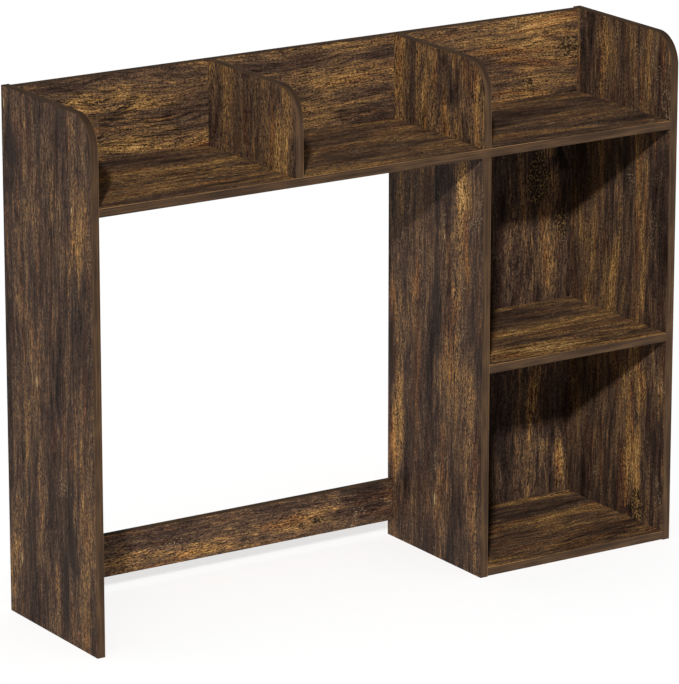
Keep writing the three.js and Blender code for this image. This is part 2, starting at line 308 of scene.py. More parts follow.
# A layer: its gain, marks per metre along and across the grain, detail, offset and roughness.
PRINT_LAYERS = {
    "zones": (0.95, (4.5, 24.0), 3.0, 11.0, 0.55),
    "bands": (0.70, (8.0, 90.0), 3.0, 5.0, 0.55),
    "streaks": (0.56, (20.0, 300.0), 4.0, 1.0, 0.65),
    "fibres": (1.9, (48.0, 540.0), 3.0, 7.0, 0.65),
    "specks": (2.2, (240.0, 640.0), 2.0, 9.0, 0.7),
    "grit": (2.3, (400.0, 620.0), 2.0, 17.0, 0.7),
}
MIDDLE_TONE, LEAST_TONE = 0.44, 0.03
DETAIL_IN_TONE, DETAIL_IN_BRIGHTNESS = 0.40, 1.5
DIMMEST, BRIGHTEST = 0.25, 1.6


def make_print_group():
    tree = bpy.data.node_groups.new("rustic_print", "ShaderNodeTree")
    for name, kind in (("Place", "Vector"), ("Tone", "Float"), ("Cracks", "Float"),
                       ("Crackle", "Float")):
        tree.interface.new_socket(name, in_out="INPUT", socket_type=f"NodeSocket{kind}")
    for name, kind in (("Colour", "Color"), ("Roughness", "Float"), ("Height", "Float")):
        tree.interface.new_socket(name, in_out="OUTPUT", socket_type=f"NodeSocket{kind}")
    given = add_node(tree, "NodeGroupInput").outputs

    # The grain wanders: V is pushed sideways by slow noise.
    slow = centred(tree, noise(tree, given["Place"], (2.4, 9.0), 2.0), 0.05)
    quick = centred(tree, noise(tree, given["Place"], (14.0, 42.0), 1.0, 3.1), 0.008)
    shift = add_node(tree, "ShaderNodeCombineXYZ", {"Y": add(tree, slow, quick)}).outputs[0]
    place = combine(tree, "ADD", given["Place"], shift)

    def mask(stretch, offset, start, end, high=1.0, detail=2.0, roughness=0.5):
        """Nothing where its own noise is below start, high where it is above end."""
        marks = noise(tree, place, stretch, detail, offset, roughness)
        return ease(tree, marks, start, end, 0.0, high)

    plain = {name: noise(tree, place, *settings)
             for name, (gain, *settings) in PRINT_LAYERS.items()}
    layer = {name: centred(tree, plain[name], PRINT_LAYERS[name][0]) for name in PRINT_LAYERS}

    # Amber parts show more of the fine detail than dark parts.
    base = add(tree, add(tree, layer["zones"], given["Tone"]), layer["bands"])
    base = add(tree, base, MIDDLE_TONE)
    fine = calculate(tree, "MULTIPLY_ADD", ease(tree, base, 0.30, 0.75), 0.70, 0.62)
    detail = multiply(tree, add(tree, layer["fibres"], layer["specks"]), fine)
    value = add(tree, base, layer["streaks"])
    value = calculate(tree, "MULTIPLY_ADD", detail, DETAIL_IN_TONE, value)
    value = calculate(tree, "MAXIMUM", value, LEAST_TONE)
    bright = add(tree, multiply(tree, fine, layer["grit"]), 1.0)
    bright = calculate(tree, "MULTIPLY_ADD", detail, DETAIL_IN_BRIGHTNESS, bright)
    bright = calculate(tree, "MINIMUM", calculate(tree, "MAXIMUM", bright, DIMMEST), BRIGHTEST)
    colour = stretch_vector(tree, ramp(tree, value, PRINT_COLOURS), bright)

    # Some brown parts turn red, and some dark parts turn cold.
    red = mask((7.0, 60.0), 21.0, 0.50, 0.70, high=0.5)
    colour = blend_colour(tree, red, colour, RED_CAST, "MULTIPLY")
    cold = multiply(tree, mask((5.0, 40.0), 31.0, 0.52, 0.66, high=0.5),
                    ease(tree, base, 0.22, 0.42, 1.0, 0.0))
    colour = blend_colour(tree, cold, colour, COLD_BROWN)

    # Black cracks follow the grain where a ridge of noise crosses its middle.
    ridge = calculate(tree, "ABSOLUTE",
                      centred(tree, noise(tree, place, (9.0, 190.0), 2.0, 41.0), 1.0))
    where = add(tree, noise(tree, place, (9.0, 30.0), 2.0, 51.0), given["Cracks"])
    cracks = multiply(tree, ease(tree, ridge, 0.008, 0.04, 1.0, 0.0),
                      ease(tree, where, 0.56, 0.66))
    colour = blend_colour(tree, multiply(tree, cracks, 0.85), colour, CRACK_BLACK)

    # Pale flecks lie in small groups.
    flecks = multiply(tree, mask((330.0, 520.0), 71.0, 0.60, 0.70, detail=1.0),
                      mask((16.0, 30.0), 61.0, 0.60, 0.70))
    colour = blend_colour(tree, multiply(tree, flecks, 0.4), colour, FLECK_CREAM)

    # Crackle: the picture of peeled bark, black with cream specks, only where a patch asks.
    ragged = add(tree, given["Crackle"],
                 centred(tree, noise(tree, place, (60.0, 90.0), 3.0, 81.0), 1.6))
    cream = mask((230.0, 300.0), 91.0, 0.52, 0.60, detail=3.0, roughness=0.7)
    bits = mask((150.0, 210.0), 95.0, 0.40, 0.47)
    peeled = multiply(tree, ease(tree, ragged, 0.45, 0.60), multiply(tree, bits, 0.85))
    bark = blend_colour(tree, cream, BARK_BLACK, BARK_CREAM)
    colour = blend_colour(tree, peeled, colour, bark)

    gloss = calculate(tree, "MULTIPLY_ADD", plain["fibres"], 0.22, 0.52)
    height = calculate(tree, "MULTIPLY_ADD", plain["streaks"], 0.5,
                       multiply(tree, plain["fibres"], 0.5))
    height = calculate(tree, "MULTIPLY_ADD", cracks, -0.8, height)
    add_node(tree, "NodeGroupOutput", {"Colour": colour, "Roughness": gloss, "Height": height})
    return tree


print_group = make_print_group()
print("print group has", len(print_group.nodes), "nodes")

# %% [markdown]
# ## One print per board
#
# Each board is cut from another place of the printed roll, so each has its own material, made
# from the same group. A seed chooses the place. On top of that come listed patches: soft
# ovals in the board's own U and V that push the tone to amber or to dark, and blocks with
# straighter sides. Cracked areas get more cracks, peeled spots show bark, slivers are small pale
# scratches, and knots squeeze the grain lines together. Each is given by its middle, its half
# length and half width, and where needed its strength. Faces that look along the thickness axis
# have 2 added to their V, so the two faces of a board never show the same print.

# %% Patches, knots and the print material
SLIVER_CREAM, SLIVER_STRENGTH = rgb(176, 150, 108), 0.8
PRINT_SHINE, BAND_SHINE = 0.05, 0.12


def patch_amount(tree, place, patch, block=False):
    """The strength of a patch, fading to nothing at its border."""
    u, v, half_u, half_v, strength = patch
    away = combine(tree, "SUBTRACT", place, (u, v, 0.0))
    away = combine(tree, "MULTIPLY", away, (1.0 / half_u, 1.0 / half_v, 0.0))
    away = combine(tree, "MULTIPLY", away, away)
    if block:
        away = combine(tree, "MULTIPLY", away, away)
    distance = combine(tree, "DOT_PRODUCT", away, (1.0, 1.0, 0.0))
    return ease(tree, distance, 0.4 if block else 0.0, 1.6, strength, 0.0)


def squeeze_at_knot(tree, place, knot):
    """The place with V drawn away from a knot, so that the grain lines crowd there."""
    u, v, half_u, half_v = knot
    away = combine(tree, "SUBTRACT", place, (u, v, 0.0))
    scaled = combine(tree, "MULTIPLY", away, (1.0 / half_u, 1.0 / half_v, 0.0))
    square = combine(tree, "DOT_PRODUCT", scaled, scaled)
    near = calculate(tree, "POWER", math.e, multiply(tree, square, -1.0))
    across = combine(tree, "MULTIPLY", away, (0.0, 1.0, 0.0))
    return combine(tree, "ADD", place,
                   stretch_vector(tree, across, multiply(tree, near, -0.75)))


def print_material(name, seed, tone=0.0, patches=(), blocks=(), cracked=(), peeled=(), knots=(),
                   slivers=()):
    material, tree, shader, place = new_material(name, "Print")
    for knot in knots:
        place = squeeze_at_knot(tree, place, knot)
    noisy = add_node(tree, "ShaderNodeTexNoise",
                     {"Vector": combine(tree, "MULTIPLY", place, (18.0, 60.0, 1.0)),
                      "Scale": 1.0, "Detail": 3.0}).outputs["Color"]
    noisy = combine(tree, "SUBTRACT", noisy, (0.5, 0.5, 0.5))

    def stirred(along, across):
        """The place moved about by noise, which makes a patch's border ragged."""
        return combine(tree, "ADD", place, combine(tree, "MULTIPLY", noisy, (along, across, 0.0)))

    ragged, rough, almost_clean = stirred(0.10, 0.035), stirred(0.03, 0.012), stirred(0.008, 0.003)
    total = split = bark = 0.0
    for patch in patches:
        total = add(tree, total, patch_amount(tree, ragged, patch))
    for block in blocks:
        total = add(tree, total, patch_amount(tree, rough, block, block=True))
    for area in cracked:
        split = calculate(tree, "MAXIMUM", split, patch_amount(tree, ragged, area))
    for spot in peeled:
        bark = calculate(tree, "MAXIMUM", bark, patch_amount(tree, place, spot))
    seeded = combine(tree, "ADD", place, (seed * 1.37, seed * 0.71, seed * 7.3))
    group = add_node(tree, "ShaderNodeGroup",
                     {"Place": seeded, "Tone": add(tree, total, tone), "Cracks": split,
                      "Crackle": bark}, node_tree=print_group)
    colour = group.outputs["Colour"]
    for sliver in slivers:
        amount = patch_amount(tree, almost_clean, (*sliver, SLIVER_STRENGTH))
        colour = blend_colour(tree, amount, colour, SLIVER_CREAM)
    paint(tree, shader, {"Base Color": colour, "Roughness": group.outputs["Roughness"],
                         "Specular IOR Level": PRINT_SHINE},
          group.outputs["Height"], 0.35, 0.3 * MM)
    return material


print("print materials read", len(print_group.interface.items_tree), "group sockets")

# %% [markdown]
# ## The eleven boards' prints
#
# The numbers below are read like a map. A patch at 0.55, 0.24 on a side panel lies 55 cm above
# the desk and 24 cm behind the front edge. A positive strength is amber and a negative one dark.
# The two dividers need little, because they are small and a plain cut of the roll suits them.

# %% A print for each board
prints = {
    # The lower tones of the left side panel and the tower side are partly painted shade: besides
    # their print, they darken these boards in place of less light on their outer faces, which look
    # along minus X.
    "left_side_panel": print_material(
        "print_left_side", 1.0, tone=-0.09,
        patches=[(0.55, 0.240, 0.30, 0.025, -0.14), (0.587, 0.17, 0.07, 0.035, 0.10),
                 (0.645, 0.10, 0.07, 0.018, 0.10), (0.59, 0.022, 0.10, 0.026, 0.20),
                 (0.453, 0.144, 0.07, 0.04, 0.08), (0.185, 0.10, 0.11, 0.045, -0.12),
                 (0.117, 0.03, 0.13, 0.03, 0.16), (0.075, 0.237, 0.05, 0.018, 0.16)],
        blocks=[(0.358, 0.105, 0.11, 0.014, -0.12)],
        cracked=[(0.66, 0.12, 0.10, 0.030, 0.12), (0.47, 0.04, 0.09, 0.030, 0.12)],
        knots=[(0.11, 0.065, 0.03, 0.012)],
        slivers=[(0.368, 0.161, 0.009, 0.0018), (0.089, 0.214, 0.010, 0.0014),
                 (0.755, 0.243, 0.008, 0.0012), (0.64, 0.055, 0.005, 0.0015)]),
    "right_side_panel": print_material(
        "print_right_side", 2.0, tone=-0.02,
        patches=[(0.375, 0.226, 0.06, 0.024, -0.16), (0.518, 0.124, 0.045, 0.014, 0.18),
                 (0.417, 0.059, 0.085, 0.009, 0.18), (0.377, 0.166, 0.055, 0.04, 0.06),
                 (0.48, 0.022, 0.16, 0.022, -0.12), (0.111, 0.088, 0.065, 0.025, 0.24),
                 (0.227, 0.062, 0.04, 0.010, 0.14), (0.024, 0.090, 0.015, 0.014, -0.3),
                 (0.041, 0.212, 0.04, 0.03, -0.10), (0.152, 0.028, 0.12, 0.02, -0.10),
                 (0.707, 0.209, 0.07, 0.025, -0.14), (0.718, 0.104, 0.06, 0.025, 0.08),
                 (0.724, 0.036, 0.05, 0.012, -0.08)],
        peeled=[(0.036, 0.067, 0.030, 0.016, 1.1)]),
    # Its lower tone is partly painted shade, as for the left side panel.
    "tower_side_panel": print_material(
        "print_tower_side", 3.0, tone=-0.05,
        patches=[(0.584, 0.038, 0.05, 0.034, 0.18), (0.38, 0.235, 0.035, 0.012, 0.16),
                 (0.18, 0.224, 0.08, 0.022, 0.26), (0.117, 0.20, 0.05, 0.012, -0.12),
                 (0.257, 0.072, 0.08, 0.07, 0.07), (0.228, 0.106, 0.02, 0.01, -0.12),
                 (0.105, 0.058, 0.04, 0.015, -0.16), (0.018, 0.12, 0.05, 0.10, -0.08)],
        blocks=[(0.56, 0.10, 0.05, 0.027, -0.12)],
        cracked=[(0.42, 0.075, 0.09, 0.022, 0.16), (0.30, 0.06, 0.08, 0.030, 0.10)],
        knots=[(0.42, 0.075, 0.05, 0.020), (0.30, 0.19, 0.03, 0.010)],
        slivers=[(0.088, 0.123, 0.009, 0.0022), (0.50, 0.10, 0.004, 0.0012)]),
    "top_shelf": print_material(
        "print_top_shelf", 4.0, tone=0.02,
        patches=[(0.12, 2.215, 0.12, 0.030, -0.10), (0.10, 2.15, 0.12, 0.014, 0.18),
                 (0.16, 2.09, 0.10, 0.030, -0.04), (0.18, 2.10, 0.22, 0.15, 0.06),
                 (0.86, 2.12, 0.20, 0.16, -0.09)],
        cracked=[(0.20, 2.10, 0.16, 0.050, 0.12), (0.80, 2.12, 0.10, 0.050, 0.10)],
        slivers=[(0.223, 2.072, 0.006, 0.0015), (0.955, 2.02, 0.005, 0.0015)]),
    "middle_shelf": print_material(
        "print_middle_shelf", 5.0, tone=0.08,
        patches=[(0.094, 2.034, 0.11, 0.028, 0.24), (0.271, 2.055, 0.08, 0.02, 0.10),
                 (0.20, 2.20, 0.12, 0.04, -0.10)],
        cracked=[(0.13, 2.035, 0.20, 0.040, 0.22)],
        knots=[(0.057, 2.03, 0.03, 0.012)],
        slivers=[(0.135, 2.137, 0.008, 0.0020), (0.12, 2.145, 0.005, 0.0014)]),
    "bottom_shelf": print_material(
        "print_bottom_shelf", 6.0,
        patches=[(0.208, 2.24, 0.12, 0.012, 0.16), (0.232, 2.11, 0.08, 0.018, 0.12),
                 (0.278, 2.067, 0.07, 0.02, -0.12)],
        cracked=[(0.24, 2.05, 0.10, 0.050, 0.14)]),
    "left_divider": print_material("print_left_divider", 7.0, tone=0.02),
    "right_divider": print_material(
        "print_right_divider", 8.0, tone=0.07,
        patches=[(0.086, 0.015, 0.02, 0.008, 0.16), (0.11, 0.157, 0.03, 0.025, 0.06)],
        blocks=[(0.085, 0.092, 0.035, 0.03, -0.12)]),
    "upper_back_panel": print_material(
        "print_upper_back", 9.0, tone=0.02,
        patches=[(0.90, 0.065, 0.085, 0.07, 0.23), (0.18, 0.085, 0.14, 0.06, 0.05),
                 (0.852, 0.098, 0.025, 0.02, -0.12),
                 (0.067, 0.091, 0.03, 0.02, -0.15), (0.187, 0.012, 0.13, 0.014, 0.16),
                 (0.165, 0.096, 0.02, 0.008, 0.14), (0.09, 0.091, 0.02, 0.006, 0.10),
                 (0.50, 0.075, 0.09, 0.018, 0.12), (0.43, 0.028, 0.06, 0.014, 0.10)],
        cracked=[(0.16, 0.050, 0.18, 0.050, 0.20), (0.46, 0.060, 0.10, 0.040, 0.10)],
        peeled=[(0.959, 0.072, 0.018, 0.018, 1.0), (0.879, 0.024, 0.014, 0.012, 0.8)]),
    "rear_stretcher": print_material(
        "print_stretcher", 10.0,
        patches=[(0.464, 0.03, 0.07, 0.015, 0.14), (0.341, 0.012, 0.075, 0.012, 0.14),
                 (0.163, 0.018, 0.07, 0.014, 0.16), (0.277, 0.04, 0.05, 0.02, -0.06)],
        blocks=[(0.586, 0.043, 0.042, 0.024, -0.14)],
        peeled=[(0.506, 0.020, 0.042, 0.010, 0.6)]),
    "tower_back_panel": print_material(
        "print_tower_back", 11.0, tone=-0.10,
        patches=[(0.394, 0.281, 0.075, 0.035, 0.10), (0.40, 0.225, 0.10, 0.050, 0.09),
                 (0.42, 0.185, 0.25, 0.02, -0.12), (0.536, 0.305, 0.02, 0.02, -0.3),
                 (0.113, 0.261, 0.12, 0.009, 0.18), (0.061, 0.319, 0.05, 0.012, 0.28),
                 (0.081, 0.288, 0.02, 0.02, 0.16), (0.11, 0.22, 0.13, 0.035, -0.08)],
        peeled=[(0.516, 0.270, 0.045, 0.022, 1.1), (0.446, 0.315, 0.03, 0.015, 0.8)]),
}
print("prints:", len(prints))

# %% [markdown]
# ## Chipboard, edge band and hardboard
#
# Where no band is glued, the chipboard core shows: pale chips pressed flat, with dark gaps. It is
# on hidden edges and inside every drilled hole. The edge band is a plastic strip in one plain
# brown with faint lines along it. A thin paler line along one of its two corners is a painted
# highlight, where light would catch the rounded arris. The rear of the hardboard is bare pressed
# fibre.

# %% Core, band and bare hardboard
def core_material():
    material, tree, shader, place = new_material("chipboard_core")
    chips = add_node(tree, "ShaderNodeTexVoronoi", {"Vector": place, "Scale": 420.0}).outputs
    tint = add_node(tree, "ShaderNodeSeparateColor", {0: chips["Color"]}).outputs[0]
    dust = noise(tree, place, (900.0, 900.0, 900.0), 3.0)
    value = calculate(tree, "MULTIPLY_ADD", tint, 0.6, multiply(tree, dust, 0.5))
    stops = [(0.12, rgb(92, 66, 42)), (0.4, rgb(150, 114, 76)), (0.7, rgb(188, 152, 108)),
             (0.95, rgb(212, 182, 140))]
    paint(tree, shader, {"Base Color": ramp(tree, value, stops), "Roughness": 0.9},
          value, 0.6, 0.5 * MM)
    return material


# The colour of a painted highlight: a thin paler line along one arris of every band.
ARRIS_HIGHLIGHT_BROWN = rgb(150, 112, 72)


def band_material():
    material, tree, shader, place = new_material("brown_edge_band", "Band")
    lines = noise(tree, place, (6.0, 900.0), 3.0, 3.0)
    cloud = noise(tree, place, (20.0, 90.0), 2.0, 8.0)
    value = calculate(tree, "MULTIPLY_ADD", lines, 0.75, multiply(tree, cloud, 0.35))
    stops = [(0.38, rgb(42, 31, 22)), (0.54, rgb(63, 46, 32)), (0.68, rgb(88, 65, 43))]
    colour = ramp(tree, value, stops)
    # A thin paler line along one arris is a painted highlight, where light would catch the rounded
    # corner. Noise makes it stronger and weaker along the band.
    across = add_node(tree, "ShaderNodeSeparateXYZ", {0: place}).outputs["Y"]
    highlight_line = ease(tree, across, HALF_BOARD - 0.8 * MM, HALF_BOARD - 0.3 * MM)
    highlight_strength = ease(tree, noise(tree, place, (9.0, 40.0), 3.0, 15.0), 0.40, 0.56, 0.25, 0.9)
    colour = blend_colour(tree, multiply(tree, highlight_line, highlight_strength), colour, ARRIS_HIGHLIGHT_BROWN)
    rough = calculate(tree, "MULTIPLY_ADD", lines, 0.2, 0.5)
    paint(tree, shader, {"Base Color": colour, "Roughness": rough,
                         "Specular IOR Level": BAND_SHINE}, lines, 0.25, 0.2 * MM)
    return material


def hardboard_material():
    material, tree, shader, place = new_material("bare_hardboard")
    fibre = noise(tree, place, (240.0, 240.0, 240.0), 4.0, 2.0, 0.65)
    cloud = noise(tree, place, (12.0, 12.0, 12.0), 3.0, 5.0)
    value = calculate(tree, "MULTIPLY_ADD", fibre, 0.7, multiply(tree, cloud, 0.4))
    stops = [(0.35, rgb(88, 58, 36)), (0.55, rgb(120, 84, 54)), (0.75, rgb(146, 108, 72))]
    paint(tree, shader, {"Base Color": ramp(tree, value, stops), "Roughness": 0.8},
          fibre, 0.4, 0.4 * MM)
    return material


core = core_material()
band_brown = band_material()
hardboard = hardboard_material()
print("edge finishes:", core.name, band_brown.name, hardboard.name)

# %% [markdown]
# ## Metal and beech
#
# Cams are cast zinc, dull and slightly grainy. Bolts and screws have a thin yellowish zinc
# plating that is a little uneven. Dowels are raw beech: pale wood with short darker flecks along
# the rod.

# %% Zinc, plated steel and beech
def metal_material(name, dark, light, roughness, scale):
    material, tree, shader, place = new_material(name)
    cloud = noise(tree, place, (scale, scale, scale), 3.0)
    colour = ramp(tree, cloud, [(0.3, dark), (0.7, light)])
    rough = calculate(tree, "MULTIPLY_ADD", cloud, 0.25, roughness - 0.12)
    grain = noise(tree, place, (scale * 6.0, scale * 6.0, scale * 6.0), 2.0)
    paint(tree, shader, {"Base Color": colour, "Roughness": rough, "Metallic": 1.0},
          grain, 0.2, 0.1 * MM)
    return material


def beech_material():
    material, tree, shader, place = new_material("raw_beech")
    flecks = noise(tree, place, (1600.0, 1600.0, 90.0), 3.0)
    stops = [(0.3, rgb(158, 118, 76)), (0.5, rgb(200, 160, 112)), (0.75, rgb(222, 188, 142))]
    paint(tree, shader, {"Base Color": ramp(tree, flecks, stops), "Roughness": 0.75},
          flecks, 0.3, 0.2 * MM)
    return material


zinc = metal_material("cast_zinc", rgb(150, 150, 148), rgb(196, 196, 192), 0.42, 500.0)
plated = metal_material("yellow_plated_steel", rgb(176, 160, 116), rgb(214, 202, 164), 0.32, 300.0)
beech = beech_material()
print("small part finishes:", zinc.name, plated.name, beech.name)

# %% [markdown]
# ## Where the fasteners sit
#
# The frame knows each fastener's box, and its name says which boards it joins. From the two the
# script works out a place, a direction and a side for each one. The same facts drill the boards
# and, later, put the fasteners in. A joint has a face board, which the fasteners enter through its
# wide face, and an end board, which they enter through its edge. Inward points into the end
# board, and the mouth is the side of the end board on which the cam is dropped in.

# %% Places and directions of the fasteners
X_AXIS, Y_AXIS, Z_AXIS = Vector((1, 0, 0)), Vector((0, 1, 0)), Vector((0, 0, 1))

# A joint's facts: face board, end board, inward, mouth.
JOINTS = {
    "top_shelf_left": ("left_side_panel", "top_shelf", X_AXIS, -Z_AXIS),
    "top_shelf_right": ("right_side_panel", "top_shelf", -X_AXIS, -Z_AXIS),
    "middle_shelf_left": ("tower_side_panel", "middle_shelf", X_AXIS, -Z_AXIS),
    "middle_shelf_right": ("right_side_panel", "middle_shelf", -X_AXIS, -Z_AXIS),
    "bottom_shelf_left": ("tower_side_panel", "bottom_shelf", X_AXIS, -Z_AXIS),
    "bottom_shelf_right": ("right_side_panel", "bottom_shelf", -X_AXIS, -Z_AXIS),
    "tower_top": ("top_shelf", "tower_side_panel", -Z_AXIS, X_AXIS),
    "stretcher_left": ("left_side_panel", "rear_stretcher", X_AXIS, Y_AXIS),
    "stretcher_right": ("tower_side_panel", "rear_stretcher", -X_AXIS, Y_AXIS),
    "upper_back_left": ("left_side_panel", "upper_back_panel", X_AXIS, Y_AXIS),
    "upper_back_right": ("right_side_panel", "upper_back_panel", -X_AXIS, Y_AXIS),
}


def joint_of(node):
    """The facts of the joint that a fastener is named after."""
    return next(facts for joint, facts in JOINTS.items() if f"_{joint}" in node)


def centre_of(node):
    low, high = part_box(node)
    return (low + high) / 2


def reach_of(node, direction):
    """How far the node's box reaches along a direction."""
    low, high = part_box(node)
    return max(low.dot(direction), high.dot(direction))


def nodes_named(start):
    return sorted(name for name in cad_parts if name.startswith(start))


BOLT_NODES = nodes_named("cam_bolt_")
CAM_NODES = nodes_named("cam_lock_")
DOWEL_NODES = nodes_named("dowel_")
SCREW_NODES = nodes_named("screw_")

CAM_SETBACK = 24.0 * MM
CAM_RADIUS = 7.5 * MM
CAM_HEIGHT = 9.6 * MM
SUNK = 0.1 * MM
CLEARANCE = 0.3 * MM


def bolt_root(node, inward):
    """The point of the face board where a cam bolt comes out."""
    point = centre_of(node)
    return point + inward * (reach_of(node, inward) - CAM_SETBACK - point.dot(inward))


print("bolts, cams, dowels, screws:",
      len(BOLT_NODES), len(CAM_NODES), len(DOWEL_NODES), len(SCREW_NODES))

# %% [markdown]
# ## Drilling plan
#
# Every hole is a rod to be cut out of a board: where it starts, which way it runs, its two radii
# and its length. A cone makes the sink for a screw's head. Three extra screws come up through
# the top shelf into the upper back, one in the middle of each cubby.

# %% The drilling plan
holes = {name: [] for name in prints}
BOLT_BORE, BOLT_BORE_DEPTH = 3.3 * MM, 10.2 * MM
SHANK_BORE = 4.0 * MM
DOWEL_BORE = 3.3 * MM
DOWEL_IN_FACE = 9.0 * MM
DOWEL_IN_END = 22.3 * MM
SCREW_LENGTH = 37.9 * MM
SCREW_BORE = 2.05 * MM
SINK_RADIUS, SINK_DEPTH, SINK_OUTSIDE = 5.0 * MM, 3.8 * MM, 0.9 * MM
SCREW_IN_OUTER = 16.0 * MM
PILOT_START = 10.0 * MM
PILOT_LENGTH = SCREW_LENGTH - 9.2 * MM


def drill(board, start, direction, length, radius, end_radius=None, sides=20):
    """Note one hole. It starts a little outside the board, so that the cut is clean."""
    holes[board].append((start, direction, length, radius, end_radius or radius, sides))


for node in BOLT_NODES:
    face_board, end_board, inward, mouth = joint_of(node)
    root = bolt_root(node, inward)
    drill(face_board, root + inward * MM, -inward, BOLT_BORE_DEPTH, BOLT_BORE)
    drill(end_board, root - inward * MM, inward, CAM_SETBACK + MM, SHANK_BORE)
    centre = root + inward * CAM_SETBACK
    drill(end_board, centre + mouth * (HALF_BOARD + MM), -mouth,
          CAM_HEIGHT + SUNK + CLEARANCE + MM, CAM_RADIUS + CLEARANCE, sides=32)

for node in DOWEL_NODES:
    face_board, end_board, inward = joint_of(node)[:3]
    root = centre_of(node)
    root += inward * (-reach_of(node, -inward) - root.dot(inward) + DOWEL_IN_FACE)
    drill(face_board, root + inward * MM, -inward, DOWEL_IN_FACE + 1.3 * MM, DOWEL_BORE)
    drill(end_board, root - inward * MM, inward, DOWEL_IN_END, DOWEL_BORE)

screw_places = []
for node in SCREW_NODES:
    divider = "left_divider" if "left_divider" in node else "right_divider"
    heading = -Y_AXIS if node.endswith("_back") else Z_AXIS
    outer = "upper_back_panel" if node.endswith("_back") else "top_shelf"
    screw_places.append((outer, divider, centre_of(node), heading))

shelf_low, shelf_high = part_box("top_shelf")
divider_faces = [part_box("left_divider"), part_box("right_divider")]
bay_limits = [shelf_low.x, divider_faces[0][0].x, divider_faces[0][1].x,
              divider_faces[1][0].x, divider_faces[1][1].x, shelf_high.x]
back_screw_places = []
for start, end in zip(bay_limits[::2], bay_limits[1::2]):
    centre = Vector(((start + end) / 2, centre_of("upper_back_panel").y,
                     shelf_low.z + SUNK + SCREW_LENGTH / 2))
    back_screw_places.append(("top_shelf", "upper_back_panel", centre, Z_AXIS))

for outer, inner, centre, heading in screw_places + back_screw_places:
    head = centre - heading * (SCREW_LENGTH / 2 + SUNK)
    drill(outer, head - heading * SINK_OUTSIDE, heading, SINK_DEPTH, SINK_RADIUS, SCREW_BORE)
    drill(outer, head - heading * MM, heading, SCREW_IN_OUTER, SCREW_BORE)
    drill(inner, head + heading * PILOT_START, heading, PILOT_LENGTH, SCREW_BORE)
print("holes to drill:", sum(len(plan) for plan in holes.values()))

# %% [markdown]
# ## Building a board
#
# A board is its outline pushed through its thickness. The side panels and the dividers have one
# rounded front corner. The arrises are eased by a fifth of a millimetre, and the holes are cut
# with an exact Boolean, because a drilled board is what a buyer unpacks. A banded edge lies back
# by the band's thickness, so that board and band together keep the size in the frame.

# %% Outlines, prisms and holes
BAND = 0.5 * MM
CORNER_RADIUS = 46.0 * MM
CORNER_STEPS = 28
EASE = 0.2 * MM


def rectangle(left, bottom, right, top):
    return [(left, bottom), (right, bottom), (right, top), (left, top)]


def corner_arc(centre_x, centre_y, radius):
    """Points of the front top corner, from the top edge down to the front edge."""
    turns = [math.pi / 2 * (1 + step / CORNER_STEPS) for step in range(CORNER_STEPS + 1)]
    return [(centre_x + radius * math.cos(t), centre_y + radius * math.sin(t)) for t in turns]


def prism(outline, axis, low, high):
    """A bmesh: a 2-D outline pushed from low to high along an axis."""
    others = [index for index in range(3) if index != axis]
    body = bmesh.new()
    rings = []
    for level in (low, high):
        ring = []
        for first, second in outline:
            spot = [0.0, 0.0, 0.0]
            spot[axis] = level
            spot[others[0]], spot[others[1]] = first, second
            ring.append(body.verts.new(spot))
        rings.append(ring)
    body.faces.new(rings[0])
    body.faces.new(rings[1])
    count = len(outline)
    for index in range(count):
        after = (index + 1) % count
        body.faces.new((rings[0][index], rings[0][after], rings[1][after], rings[1][index]))
    bmesh.ops.recalc_face_normals(body, faces=body.faces)
    return body


def ease_arrises(body, width):
    sharp = [edge for edge in body.edges if edge.calc_face_angle(0.0) > math.radians(40)]
    bmesh.ops.bevel(body, geom=sharp, offset=width, segments=2, profile=0.5, affect="EDGES")


def object_from(name, body):
    mesh = bpy.data.meshes.new(name)
    body.to_mesh(mesh)
    body.free()
    piece = bpy.data.objects.new(name, mesh)
    bpy.context.scene.collection.objects.link(piece)
    return piece


def settle(piece):
    """Bake the modifiers into a plain mesh and remove them."""
    bpy.context.view_layer.update()
    depsgraph = bpy.context.evaluated_depsgraph_get()
    result = bpy.data.meshes.new_from_object(piece.evaluated_get(depsgraph))
    piece.modifiers.clear()
    old = piece.data
    piece.data = result
    bpy.data.meshes.remove(old)
    result.name = piece.name


def subtract(piece, cutters):
    cutter = object_from("cutter", cutters)
    modifier = piece.modifiers.new("cut", "BOOLEAN")
    modifier.operation = "DIFFERENCE"
    modifier.solver = "EXACT"
    modifier.use_self = True
    modifier.object = cutter
    settle(piece)
    data = cutter.data
    bpy.data.objects.remove(cutter)
    bpy.data.meshes.remove(data)


def cut_holes(piece, plan):
    cutters = bmesh.new()
    for start, direction, length, radius, end_radius, sides in plan:
        turn = Z_AXIS.rotation_difference(direction).to_matrix().to_4x4()
        middle = Matrix.Translation(start + direction * length / 2)
        bmesh.ops.create_cone(cutters, cap_ends=True, segments=sides, radius1=radius,
                              radius2=end_radius, depth=length, matrix=middle @ turn)
    subtract(piece, cutters)


print("outline helpers ready")

# %% [markdown]
# ## Print on the faces, chipboard elsewhere
#
# After drilling, each face is sorted by where it lies: the two wide faces and their eased arrises
# take the print, everything else is chipboard. The UV map is written in metres from the board's
# own low corner. Thickness and grain are numbers of an axis: 0 is X, 1 is Y and 2 is Z.

# %% UV map and materials of a board
EDGE_OF_FACE = 0.3 * MM
OTHER_FACE = 2.0


